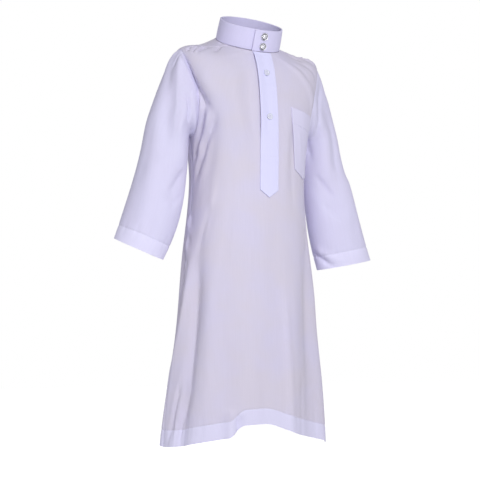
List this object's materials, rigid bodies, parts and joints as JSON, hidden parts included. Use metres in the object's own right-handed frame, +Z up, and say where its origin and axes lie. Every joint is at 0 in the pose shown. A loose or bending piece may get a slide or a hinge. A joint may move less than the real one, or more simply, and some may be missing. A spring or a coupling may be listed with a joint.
{
  "type": "thobe robe, child's, long sleeved with stand collar, worn and hollow",
  "caption": "Child's white thobe robe in its hollow worn form, with stand collar, placket, chest pocket, studs and buttons.",
  "frame": {"origin": "centre of the neck opening's seam, where the wearer's neck and shoulders hold the robe", "axes": "+Z up, -Y to the wearer's front, +X to the wearer's left"},
  "size_m": [0.5157, 0.1998, 0.7801],
  "materials": {
    "cloth": "matt white poplin with a faint lavender tint, a little see-through",
    "doubled_cloth": "the same poplin, two or more layers, opaque and brighter",
    "stud_metal": "engraved silver colour with dark hollows",
    "button_plastic": "clear to pearly"
  },
  "bodies": {
    "root": {"front": "cloth", "back": "cloth", "sleeve_right": "cloth", "sleeve_left": "cloth", "collar": "doubled_cloth", "placket": "doubled_cloth", "chest_pocket": "doubled_cloth", "collar_stud_upper": "stud_metal", "collar_stud_lower": "stud_metal", "placket_button_upper": "button_plastic", "placket_button_lower": "button_plastic"}
  },
  "joints": []
}
